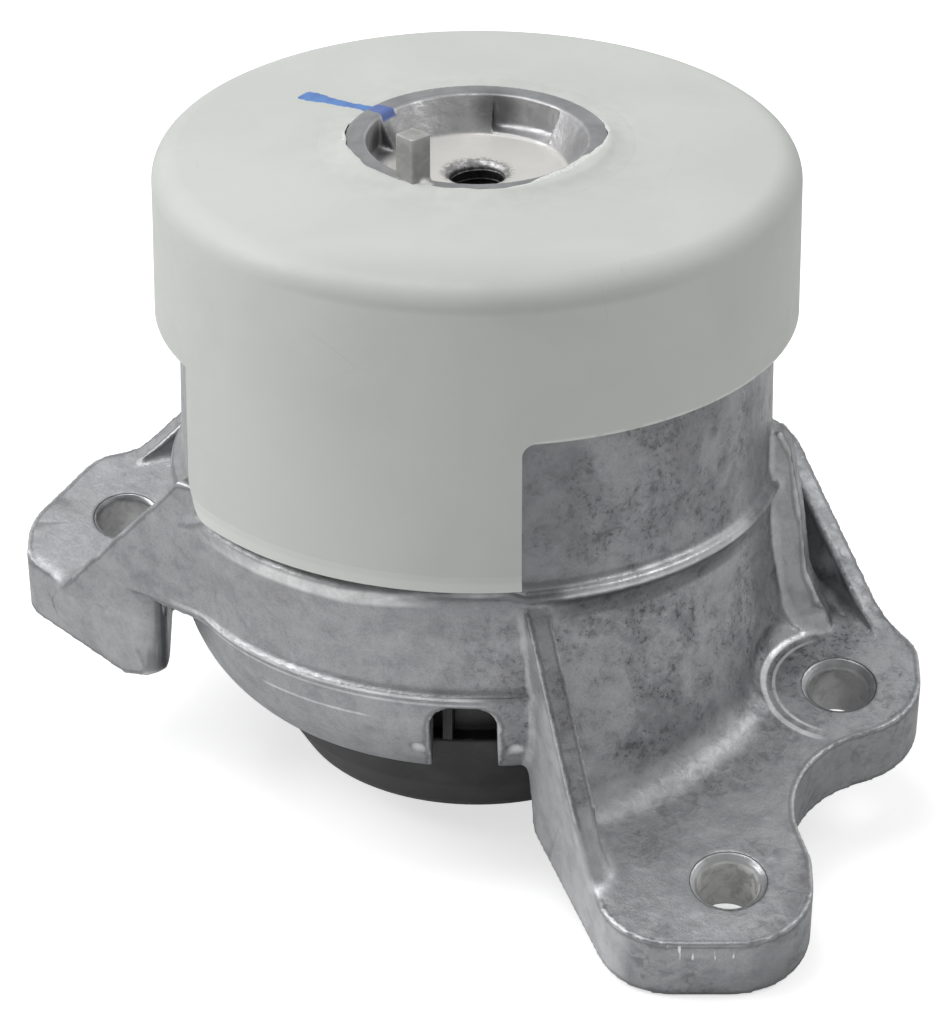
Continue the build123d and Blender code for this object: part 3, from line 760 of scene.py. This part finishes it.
# %% Skin
def cast_marks(tree, where):
    """The noises of the cast skin, from wide flow marks to fine grain, and its hair lines."""
    marks = {
        "flow": noise(tree, where, 22, 6, 0.68, 0.3),
        "warm": noise(tree, where, 13, 4, 0.6),
        "blots": noise(tree, where, 5.5, 7, 0.68, 0.25),
        "mottle": noise(tree, where, 2.2, 5, 0.65, 0.5),
        "specks": noise(tree, where, 0.9, 3, 0.6),
        "grain": noise(tree, where, 0.4, 2, 0.5),
    }
    lines = calc(tree, "ABSOLUTE", calc(tree, "SUBTRACT", noise(tree, where, 8, 3, 0.6, 0.8), 0.5))
    marks["lines"] = times(tree, spread(tree, lines, 0.005, 0.0), spread(tree, marks["warm"], 0.54, 0.62))
    return marks


def mottled_skin(tree, place, marks):
    """A grey skin with patches, blots, hair lines and specks, most of them on the drum's right."""
    x, y, z = place
    blots, mottle = marks["blots"], marks["mottle"]
    stained = times(tree, spread(tree, x, -0.012, 0.02), spread(tree, y, 0.01, -0.02))
    stained = times(tree, stained, spread(tree, z, STEP_HEIGHT - 44 * MM, STEP_HEIGHT - 34 * MM))
    stained = times(tree, stained, spread(tree, marks["flow"], 0.42, 0.56, 0.25, 1.0))
    colour = tint(tree, spread(tree, blots, 0.36, 0.64), PALE_CAST, GREY_CAST)
    dirt = calc(tree, "ADD", times(tree, stained, 0.1), marks["flow"])
    dirt = times(tree, spread(tree, dirt, 0.5, 0.74), calc(tree, "MULTIPLY_ADD", stained, 0.4, 0.25))
    colour = tint(tree, dirt, colour, DARK_CAST_AND_SHADE)
    spotted = times(tree, spread(tree, mottle, 0.5, 0.64), spread(tree, blots, 0.42, 0.58))
    spotted = times(tree, spotted, calc(tree, "MULTIPLY_ADD", stained, 0.5, 0.1))
    colour = tint(tree, spotted, colour, SOOT_AND_SHADE)
    colour = tint(tree, times(tree, spread(tree, mottle, 0.46, 0.34), 0.16), colour, BRIGHT_CAST)
    colour = tint(tree, times(tree, spread(tree, marks["warm"], 0.5, 0.7), 0.3), colour, WARM_CAST)
    colour = tint(tree, times(tree, marks["lines"], 0.35), colour, SOOT_AND_SHADE)
    speck = times(tree, spread(tree, marks["specks"], 0.56, 0.66),
                  calc(tree, "MULTIPLY_ADD", stained, 1.2, 0.08))
    speck = times(tree, speck, spread(tree, blots, 0.4, 0.56))
    colour = tint(tree, times(tree, speck, 0.6), colour, SOOT_AND_SHADE)
    powder = spread(tree, marks["grain"], 0.35, 0.65, 0.9, 1.08)
    return tint(tree, 1.0, colour, tint(tree, powder, (0, 0, 0), (1, 1, 1)), "MULTIPLY")


def painted_shade_and_ear_marks(tree, place, marks, colour):
    """Painted shade under the cut-out, beside the skirt and on the ears' tops, and the ears' patches and
    cracks.
    """
    # Painted shade under the cut-out and beside the skirt.
    painted_shade = times(tree, box_mask(tree, place, *UNDER_CUT_OUT), 0.3)
    painted_shade = most(tree, painted_shade, times(tree, box_mask(tree, place, *BESIDE_SKIRT), 0.62))
    colour = tint(tree, painted_shade, colour, DARK_CAST_AND_SHADE)
    ear_top = box_mask(tree, place, *EAR_TOPS)
    # Painted shade on the ears' tops.
    colour = tint(tree, times(tree, ear_top, 0.1), colour, DARK_CAST_AND_SHADE)
    patches = times(tree, spread(tree, marks["mottle"], 0.46, 0.62), spread(tree, marks["warm"], 0.44, 0.6))
    colour = tint(tree, times(tree, patches, ear_top, 0.55), colour, DARK_CAST_AND_SHADE)
    return tint(tree, times(tree, marks["lines"], ear_top, 0.6), colour, SOOT_AND_SHADE)


# %% [markdown]
# ## Painted highlights and shade, and machined metal
#
# The shoulder, the ridge at the drum's step, the two beads and the raised line on the bowl, the stake
# marks beside the window and the arcs round the right ear's seat get painted highlights, and the foot
# of the ridge gets painted shade. They run round the drum, so each is a band of height times a range
# of directions. Every other edge gets a painted highlight from the attribute edge_convexity, with a
# thin line of painted shade beside it and painted shade in the corners. The bores are machined:
# smooth, paler, with turning marks.

# %% Painted highlight bands, edges and scratches
def painted_highlight_bands(tree, where, place, blots):
    """The painted highlight bands, the shoulder's painted highlight alone, and the painted shade at the foot
    of the ridge.
    """
    x, y, z = place
    turn = calc(tree, "ARCTAN2", x, times(tree, y, -1.0))
    left_front = facing(tree, turn, -66, -34, -18, -5)
    right_front = facing(tree, turn, 13, 19, 54, 64)
    bead_front = facing(tree, turn, -74, -60, -6, 4)
    uneven = spread(tree, noise(tree, where, 9, 3, 0.6), 0.32, 0.5, 0.75, 1.25)
    # Painted highlights on the shoulder and the ridge, and painted shade at the ridge's foot.
    shoulder_highlight = times(tree, within(tree, z, STEP - 3.0, STEP - 1.2, 1.1), left_front, uneven)
    ridge_highlight = times(tree, within(tree, z, STEP - 1.9, STEP - 0.5, 0.9), right_front, 0.75)
    ridge_foot_shade = times(tree, within(tree, z, STEP - 6.6, STEP - 3.2, 0.9), right_front)
    bead = times(tree, within(tree, z, BEAD - 0.4, BEAD + 0.2, 0.35), bead_front)
    second_bead = times(tree, within(tree, z, BEAD - 1.9, BEAD - 1.6, 0.3), bead_front, 0.6)
    raised_line = times(tree, within(tree, z, BEAD - 6.4, BEAD - 6.2, 0.3),
                        facing(tree, turn, -46, -43, -23, -20), 0.6)
    reach = calc(tree, "ADD", times(tree, x, x), times(tree, y, y))
    outside = spread(tree, reach, (52 * MM) ** 2, (53 * MM) ** 2)
    painted_highlight = most(tree, shoulder_highlight, ridge_highlight, bead, second_bead, raised_line)
    painted_highlight = times(tree, painted_highlight, outside, spread(tree, blots, 0.32, 0.66, 1.0, 0.55))
    # Painted highlights on the stake marks and on the arcs round the right ear's seat.
    for mark in STAKES:
        painted_highlight = most(tree, painted_highlight, times(tree, near(tree, where, mark, 0.7, 1.8), 0.5))
    away, up = from_bore(tree, where, RIGHT_BORE)
    arc = most(tree, within(tree, away, 14.0, 14.7, 0.4), within(tree, away, 12.2, 12.5, 0.3))
    beside = spread(tree, x, RIGHT_BORE.x - 2 * MM, RIGHT_BORE.x - 8 * MM)
    arc = times(tree, arc, times(tree, within(tree, up, 0.0, 4.0, 0.5), beside))
    return most(tree, painted_highlight, times(tree, arc, 0.7)), shoulder_highlight, times(tree, ridge_foot_shade, outside, 0.5)


def edge_highlights_and_shade(tree, blots, colour):
    """The colour with painted highlights on the edges, painted shade in a thin line beside them and in the
    corners, and the edges' highlight.
    """
    convexity = kept(tree, "edge_convexity")
    edge = times(tree, spread(tree, convexity, 0.15, 0.42), spread(tree, blots, 0.3, 0.62, 1.0, 0.6))
    edge_shade_line = times(tree, spread(tree, convexity, 0.07, 0.12), spread(tree, convexity, 0.24, 0.15))
    # Painted shade in a thin line beside each edge, a painted highlight on the edge, and painted shade in
    # the corners.
    colour = tint(tree, times(tree, edge_shade_line, 0.4), colour, SOOT_AND_SHADE)
    colour = tint(tree, times(tree, edge, 0.85), colour, POLISHED_AND_HIGHLIGHT)
    colour = tint(tree, times(tree, spread(tree, convexity, -0.1, -0.9), 0.55), colour, SOOT_AND_SHADE)
    return colour, edge


def scratches(tree, where, place):
    """Short upright scratches on the front ear's face."""
    drawn = add_node(tree, "ShaderNodeMapping")
    feed(tree, drawn.inputs["Vector"], where)
    drawn.inputs["Scale"].default_value = (1.0, 0.3, 0.12)
    drawn_marks = spread(tree, noise(tree, drawn.outputs[0], 0.9, 2, 0.5), 0.6, 0.66)
    return times(tree, drawn_marks, box_mask(tree, place, *EAR_FACE))


# %% Machined bores
def machined_bores(tree, where):
    """The turned mouths of the three ear bores, their turning marks, and their walls."""
    mouths = []
    rings = []
    insides = []
    for bore, seat in ((FRONT_BORE, 7.0), (RIGHT_BORE, 7.0), (LEFT_BORE, 6.3)):
        away, up = from_bore(tree, where, bore)
        mouth = spread(tree, away, seat * MM, (seat + 0.25) * MM, 1.0, 0.0)
        mouth = times(tree, mouth, spread(tree, up, 1.6 * MM, 1.0 * MM))
        wave = calc(tree, "SINE", times(tree, away, 2 * pi / (0.55 * MM)))
        mouths.append(mouth)
        rings.append(times(tree, calc(tree, "MULTIPLY_ADD", wave, 0.5, 0.5), mouth))
        insides.append(times(tree, spread(tree, away, 6.0 * MM, 5.7 * MM),
                             spread(tree, up, -0.8 * MM, -1.6 * MM)))
    return most(tree, *mouths), most(tree, *rings), most(tree, *insides)


# %% Cast finish
def cast_finish():
    """The bracket's finish, from its skin to its machined bores."""
    finish, tree, shader = new_finish("cast_aluminium_finish", CAST_METAL, 0.45)
    where = own_place(tree)
    place = axes(tree, where)
    marks = cast_marks(tree, where)
    blots, mottle = marks["blots"], marks["mottle"]
    colour = painted_shade_and_ear_marks(tree, place, marks, mottled_skin(tree, place, marks))
    # Painted light on the faces that look towards the lamps.
    lit_face = times(tree, kept(tree, "painted_lit_face"), spread(tree, blots, 0.3, 0.65, 1.0, 0.6))
    colour = tint(tree, times(tree, lit_face, 0.85), colour, LIT_FACE_CAST)
    # Painted shade on the right ears' sides and in the groove beside the middle rib.
    colour = tint(tree, kept(tree, "painted_shade_side"), colour, DARK_CAST_AND_SHADE)
    painted_highlight, shoulder_highlight, ridge_foot_shade = painted_highlight_bands(tree, where, place, blots)
    # Painted shade at the foot of the ridge.
    colour = tint(tree, ridge_foot_shade, colour, SOOT_AND_SHADE)
    colour, edge = edge_highlights_and_shade(tree, blots, colour)
    # Painted highlights on the shoulder, the ridge, the beads, the raised line, the stakes and the seat
    # arcs.
    colour = tint(tree, times(tree, painted_highlight, 0.9), colour, POLISHED_AND_HIGHLIGHT)
    colour = tint(tree, times(tree, scratches(tree, where, place), 0.8), colour, POLISHED_AND_HIGHLIGHT)
    turned, rings, inner = machined_bores(tree, where)
    colour = tint(tree, times(tree, turned, spread(tree, blots, 0.35, 0.7, 0.75, 0.25)), colour, MACHINED)
    inner = times(tree, inner, spread(tree, mottle, 0.42, 0.62, 1.0, 0.45))
    inner = times(tree, inner, spread(tree, place[1], -0.05, -0.075, 0.5, 1.0))
    colour = tint(tree, times(tree, inner, 0.95), colour, BORE_WALL)
    feed(tree, shader.inputs["Base Color"], colour)

    # Painted light and painted highlights are made less metallic too, so that they stay pale.
    dull = most(tree, times(tree, inner, 0.95), times(tree, lit_face, 0.7), times(tree, painted_highlight, 0.35), shoulder_highlight)
    feed(tree, shader.inputs["Metallic"], times(tree, calc(tree, "SUBTRACT", 1.0, dull), CAST_METAL))
    rough = spread(tree, mottle, 0.3, 0.7, 0.38, 0.5)
    rough = calc(tree, "SUBTRACT", rough, times(tree, most(tree, edge, painted_highlight), 0.18))
    rough = calc(tree, "SUBTRACT", rough, times(tree, turned, 0.1))
    feed(tree, shader.inputs["Roughness"], rough)
    quiet = calc(tree, "SUBTRACT", 1.0, times(tree, turned, 0.8))
    bumps(tree, shader,
          (times(tree, noise(tree, where, 8, 2, 0.5), quiet), 0.45),
          (times(tree, mottle, quiet), 0.08),
          (times(tree, marks["specks"], quiet), 0.06),
          (times(tree, marks["grain"], quiet), 0.03),
          (rings, 0.012))
    return finish


bracket.data.materials.append(cast_finish())
print("bracket finished")

# %% [markdown]
# ## The core's aluminium and its paint mark
#
# The core is cast from the same metal but cleaner. Its rim and the recess floor are machined: the
# rim is a flat dark grey, and the floor is a pale warm grey round the threaded hole. The peg is
# stained darker, and the pockets and the hole get painted shade. A short stroke of blue paint, from
# the final check of the part, runs over the cap and the rim and ends on the wall of the recess. The
# stroke is a mask along a line, wide at both ends and narrow between them, and both finishes use the
# same one.

# %% Paint stroke
STROKE_START = Vector((-33.2, 23.3)) * MM
STROKE_END = Vector((-15.3, 11.0)) * MM
STROKE_WIDTHS = ((0.0, 0.55), (0.03, 0.95), (0.12, 1.0), (0.3, 0.68), (0.55, 0.52), (0.7, 0.62),
                 (0.82, 0.85), (1.0, 1.0))
HALF_WIDTH = 2.1 * MM


def paint_stroke(tree, where):
    """1 on the blue stroke, in plan."""
    x, y, _ = axes(tree, where)
    run = (STROKE_END - STROKE_START).normalized()
    length = (STROKE_END - STROKE_START).length
    from_x = calc(tree, "SUBTRACT", x, STROKE_START.x)
    from_y = calc(tree, "SUBTRACT", y, STROKE_START.y)
    along = calc(tree, "ADD", times(tree, from_x, run.x), times(tree, from_y, run.y))
    across = calc(tree, "SUBTRACT", times(tree, from_x, -run.y), times(tree, from_y, -run.x))
    widths = add_node(tree, "ShaderNodeValToRGB")
    feed(tree, widths.inputs[0], calc(tree, "DIVIDE", along, length))
    stops = widths.color_ramp.elements
    for part, width in STROKE_WIDTHS:
        stops.new(part).color = (width, width, width, 1)
    stops.remove(stops[0])
    stops.remove(stops[-1])
    frayed = times(tree, calc(tree, "SUBTRACT", noise(tree, where, 1.2, 3, 0.6), 0.5), 0.9 * MM)
    half = calc(tree, "ADD", times(tree, widths.outputs[0], HALF_WIDTH), frayed)
    inside = calc(tree, "SUBTRACT", half, calc(tree, "ABSOLUTE", across))
    ends = times(tree, spread(tree, along, 0.0, 0.4 * MM), spread(tree, along, length, length - 0.4 * MM))
    return times(tree, spread(tree, inside, -0.05 * MM, 0.12 * MM), ends)


print("stroke is", round((STROKE_END - STROKE_START).length / MM, 1), "mm long")


# %% Core finish
PEG = ((-17, -24, 8.4), (-8, -14, 20), 0.5)
CHIP = Vector((-9.2, -21.4, 8.3)) * MM
POCKETS = (Vector((3.4, 19.8, 5)) * MM, Vector((-17.8, 8.5, 3.2)) * MM)


def chip_and_shaded_hollows(tree, where, away, z, specks, colour):
    """The colour with a chip at the peg's foot, painted shade in the pockets and inside the hole, and a dark
    ragged ring round the hole.
    """
    colour = tint(tree, times(tree, near(tree, where, CHIP, 0.7, 1.6), 0.9), colour, (0.9, 0.9, 0.88))
    # Painted shade in the pockets.
    for pocket in POCKETS:
        colour = tint(tree, times(tree, near(tree, where, pocket, 1.6, 6.0), 0.75), colour, SOOT_AND_SHADE)
    round_hole = times(tree, spread(tree, away, 7.6 * MM, 6.0 * MM), spread(tree, specks, 0.4, 0.55))
    colour = tint(tree, times(tree, round_hole, 0.6), colour, (0.16, 0.155, 0.145))
    # Painted shade inside the hole.
    in_hole = times(tree, spread(tree, away, 6.3 * MM, 6.0 * MM), spread(tree, z, 0.2 * MM, -1.6 * MM))
    return tint(tree, times(tree, in_hole, 0.88), colour, (0.02, 0.02, 0.02))


def core_finish():
    """The core's finish: cast walls, a machined rim and floor, a stained peg, painted shade in its hollows,
    painted highlights on its edges and paint.
    """
    finish, tree, shader = new_finish("core_finish", CAST_METAL, 0.42)
    where = own_place(tree)
    place = axes(tree, where)
    z = place[2]
    away = from_bore(tree, where, (0, 0, 0), tilted=False)[0]
    blots = noise(tree, where, 5, 5, 0.6, 0.3)
    specks = noise(tree, where, 0.9, 3, 0.6)
    colour = tint(tree, spread(tree, blots, 0.35, 0.65), (0.56, 0.56, 0.565), (0.4, 0.4, 0.41))
    on_rim = times(tree, spread(tree, z, 7.4 * MM, 7.9 * MM), spread(tree, away, 20.4 * MM, 21.2 * MM))
    rim_tone = tint(tree, spread(tree, blots, 0.3, 0.7), (0.265, 0.27, 0.28), (0.215, 0.22, 0.23))
    colour = tint(tree, on_rim, colour, rim_tone)
    on_floor = times(tree, spread(tree, z, 1.9 * MM, 1.4 * MM), spread(tree, away, 17.6 * MM, 16.6 * MM),
                     spread(tree, away, 5.8 * MM, 6.4 * MM))
    colour = tint(tree, on_floor, colour, tint(tree, blots, (0.7, 0.685, 0.655), (0.6, 0.585, 0.56)))
    near_peg = box_mask(tree, place, *PEG)
    colour = tint(tree, times(tree, near_peg, 0.7), colour, (0.42, 0.415, 0.4))
    dirt = times(tree, spread(tree, blots, 0.45, 0.6), near_peg, 0.35)
    colour = tint(tree, dirt, colour, (0.2, 0.195, 0.18))
    colour = chip_and_shaded_hollows(tree, where, away, z, specks, colour)
    # Painted highlights on the core's edges and painted shade in its corners.
    convexity = kept(tree, "edge_convexity")
    colour = tint(tree, times(tree, spread(tree, convexity, 0.12, 0.7), 0.6), colour, POLISHED_AND_HIGHLIGHT)
    colour = tint(tree, times(tree, spread(tree, convexity, -0.15, -0.9), 0.5), colour, SOOT_AND_SHADE)
    blue = times(tree, paint_stroke(tree, where), spread(tree, z, 6.4 * MM, 7.0 * MM))
    colour = tint(tree, times(tree, blue, 0.93), colour, (0.07, 0.14, 0.42))
    feed(tree, shader.inputs["Base Color"], colour)
    dull = most(tree, blue, times(tree, on_floor, 0.9), times(tree, near_peg, 0.6), times(tree, on_rim, 0.7))
    feed(tree, shader.inputs["Metallic"], times(tree, calc(tree, "SUBTRACT", 1.0, dull), CAST_METAL))
    feed(tree, shader.inputs["Roughness"], spread(tree, blots, 0.3, 0.7, 0.36, 0.5))
    turning = calc(tree, "SINE", times(tree, away, 2 * pi / (0.4 * MM)))
    machined = most(tree, on_rim, on_floor)
    quiet = calc(tree, "SUBTRACT", 1.0, times(tree, machined, 0.85))
    bumps(tree, shader,
          (times(tree, noise(tree, where, 4, 3), quiet), 0.25),
          (times(tree, specks, quiet), 0.06),
          (times(tree, turning, machined), 0.006))
    return finish


core_aluminium = core_finish()
core.data.materials.append(core_aluminium)
thread.data.materials.append(core_aluminium)
print("core and thread finished")

# %% [markdown]
# ## The pale cap
#
# The heat shield cap is smooth and matt, a grey with a trace of green. Up close it isn't even: it
# has soft clouds from handling, a slight ripple along its height, a few dark hairs and specks, and
# a paler line where its hem, its cut-out and its lip are worn. The clouds stay weak, because the cap
# is the plainest surface of the part and any strong pattern on it would look painted.

# %% Cap finish
PALE_CAP = (0.635, 0.655, 0.625)
SHADED_CAP = (0.60, 0.62, 0.59)


def cap_finish():
    """The cap's finish: weak clouds, hairs, worn edges, painted shade on its front edge and the paint."""
    finish, tree, shader = new_finish("pale_cap_finish", 0.0, 0.5)
    where = own_place(tree)
    x, y, z = axes(tree, where)
    clouds = noise(tree, where, 34, 4, 0.5, 0.6)
    fine = noise(tree, where, 3, 3, 0.5)
    grain = noise(tree, where, 0.6, 2, 0.5)
    colour = tint(tree, spread(tree, clouds, 0.35, 0.65), PALE_CAP, SHADED_CAP)
    away = from_bore(tree, where, (0, 0, 0), tilted=False)[0]
    handled = times(tree, spread(tree, away, 36 * MM, 26 * MM), spread(tree, fine, 0.35, 0.65))
    colour = tint(tree, times(tree, handled, 0.12), colour, (0.4, 0.4, 0.37))
    hem = spread(tree, z, RIM_HEIGHT - 60.6 * MM, RIM_HEIGHT - 61.2 * MM)
    colour = tint(tree, times(tree, hem, 0.3), colour, (0.78, 0.785, 0.76))
    hairs = add_node(tree, "ShaderNodeTexVoronoi", feature="DISTANCE_TO_EDGE")
    feed(tree, hairs.inputs["Vector"], where)
    hairs.inputs["Scale"].default_value = 46
    thin = spread(tree, hairs.outputs["Distance"], 0.006, 0.0)
    rare = spread(tree, noise(tree, where, 22, 2), 0.6, 0.68)
    colour = tint(tree, times(tree, thin, rare, 0.12), colour, (0.3, 0.3, 0.28))
    blue = times(tree, paint_stroke(tree, where), spread(tree, z, 4 * MM, 6 * MM))
    blue_tone = tint(tree, spread(tree, fine, 0.35, 0.6), (0.045, 0.15, 0.46), (0.08, 0.23, 0.57))
    colour = tint(tree, times(tree, blue, 0.95), colour, blue_tone)
    worn = times(tree, spread(tree, kept(tree, "worn_edge"), 0.3, 0.8), spread(tree, grain, 0.35, 0.55))
    cut_out = times(tree, within(tree, z, -25.4, -24.9, 0.4), spread(tree, x, 9 * MM, 12 * MM),
                    spread(tree, fine, 0.4, 0.55), 0.7)
    colour = tint(tree, times(tree, most(tree, worn, cut_out), 0.8), colour, (0.84, 0.845, 0.82))
    # Painted shade on the cap's rounded front edge.
    front_edge_shade = times(tree, within(tree, z, 1.5, 6.0, 1.6), spread(tree, y, -42 * MM, -56 * MM))
    colour = tint(tree, times(tree, front_edge_shade, 0.3), colour, (0.36, 0.37, 0.35))
    feed(tree, shader.inputs["Base Color"], colour)
    feed(tree, shader.inputs["Roughness"], spread(tree, fine, 0.3, 0.7, 0.46, 0.56))
    bumps(tree, shader, (noise(tree, where, 18, 2), 0.25), (grain, 0.012))
    return finish


pale_shield = cap_finish()
cap = frame["nodes"]["heat_shield_cap"]
cap.data.materials.clear()
cap.data.materials.append(pale_shield)
lip.data.materials.append(pale_shield)
print("cap and lip finished")

# %% [markdown]
# ## Plastic, rubber and the hidden metals
#
# The cup is black moulded plastic with a dull skin and a little dust on its ledges. The rubber
# inside is almost black, with a bloom that greys it in patches. The plates are pressed aluminium
# with rolling lines, and the steel rings have the blue grey skin of rolled steel.

# %% Finishes of the inner pieces
def plain_finish(name, metallic, dark, light, blot_size, roughness, depth, stretch=1.0):
    """A two-tone finish with blots, grain and a bump."""
    finish, tree, shader = new_finish(name, metallic, roughness)
    where = own_place(tree)
    if stretch != 1.0:
        drawn = add_node(tree, "ShaderNodeMapping")
        feed(tree, drawn.inputs["Vector"], where)
        drawn.inputs["Scale"].default_value = (1.0, stretch, 1.0)
        where = drawn.outputs[0]
    blots = noise(tree, where, blot_size, 5, 0.6, 0.3)
    grain = noise(tree, where, 0.5, 3, 0.6)
    dusty = tint(tree, spread(tree, blots, 0.35, 0.7), dark, light)
    feed(tree, shader.inputs["Base Color"],
         tint(tree, times(tree, spread(tree, grain, 0.5, 0.72), 0.3), dusty, light))
    feed(tree, shader.inputs["Roughness"], spread(tree, blots, 0.3, 0.7, roughness - 0.06, roughness + 0.08))
    bumps(tree, shader, (blots, depth), (grain, depth * 0.3))
    return finish


by_slot = {
    "black_plastic": plain_finish("black_plastic_finish", 0.0, (0.02, 0.02, 0.021),
                                  (0.055, 0.055, 0.056), 9, 0.42, 0.05),
    "rubber": plain_finish("rubber_finish", 0.0, (0.016, 0.016, 0.016),
                           (0.045, 0.044, 0.042), 12, 0.62, 0.08),
    "plate_aluminium": plain_finish("plate_finish", 0.85, (0.5, 0.505, 0.51),
                                    (0.68, 0.685, 0.69), 14, 0.38, 0.03, stretch=0.08),
    "plain_steel": plain_finish("plain_steel_finish", 0.9, (0.3, 0.31, 0.33),
                                (0.44, 0.45, 0.47), 16, 0.36, 0.03, stretch=0.1),
}
slot_of = {
    "main_spring": "rubber", "rebound_buffer": "rubber", "decoupler_membrane": "rubber", "bellows": "rubber",
    "spring_sleeve": "plain_steel", "rebound_stop_plate": "plain_steel", "bellows_clamp_ring": "plain_steel",
    "upper_channel_plate": "plate_aluminium", "lower_channel_plate": "plate_aluminium",
    "base_cup": "black_plastic",
}
for node, slot in slot_of.items():
    solid = frame["nodes"][node]
    solid.data.materials.clear()
    solid.data.materials.append(by_slot[slot])
print(len(slot_of), "inner pieces finished")

# %% Box of the CAD nodes
print("cad box", [round(v, 4) for v in (*cad_low, *cad_high)])
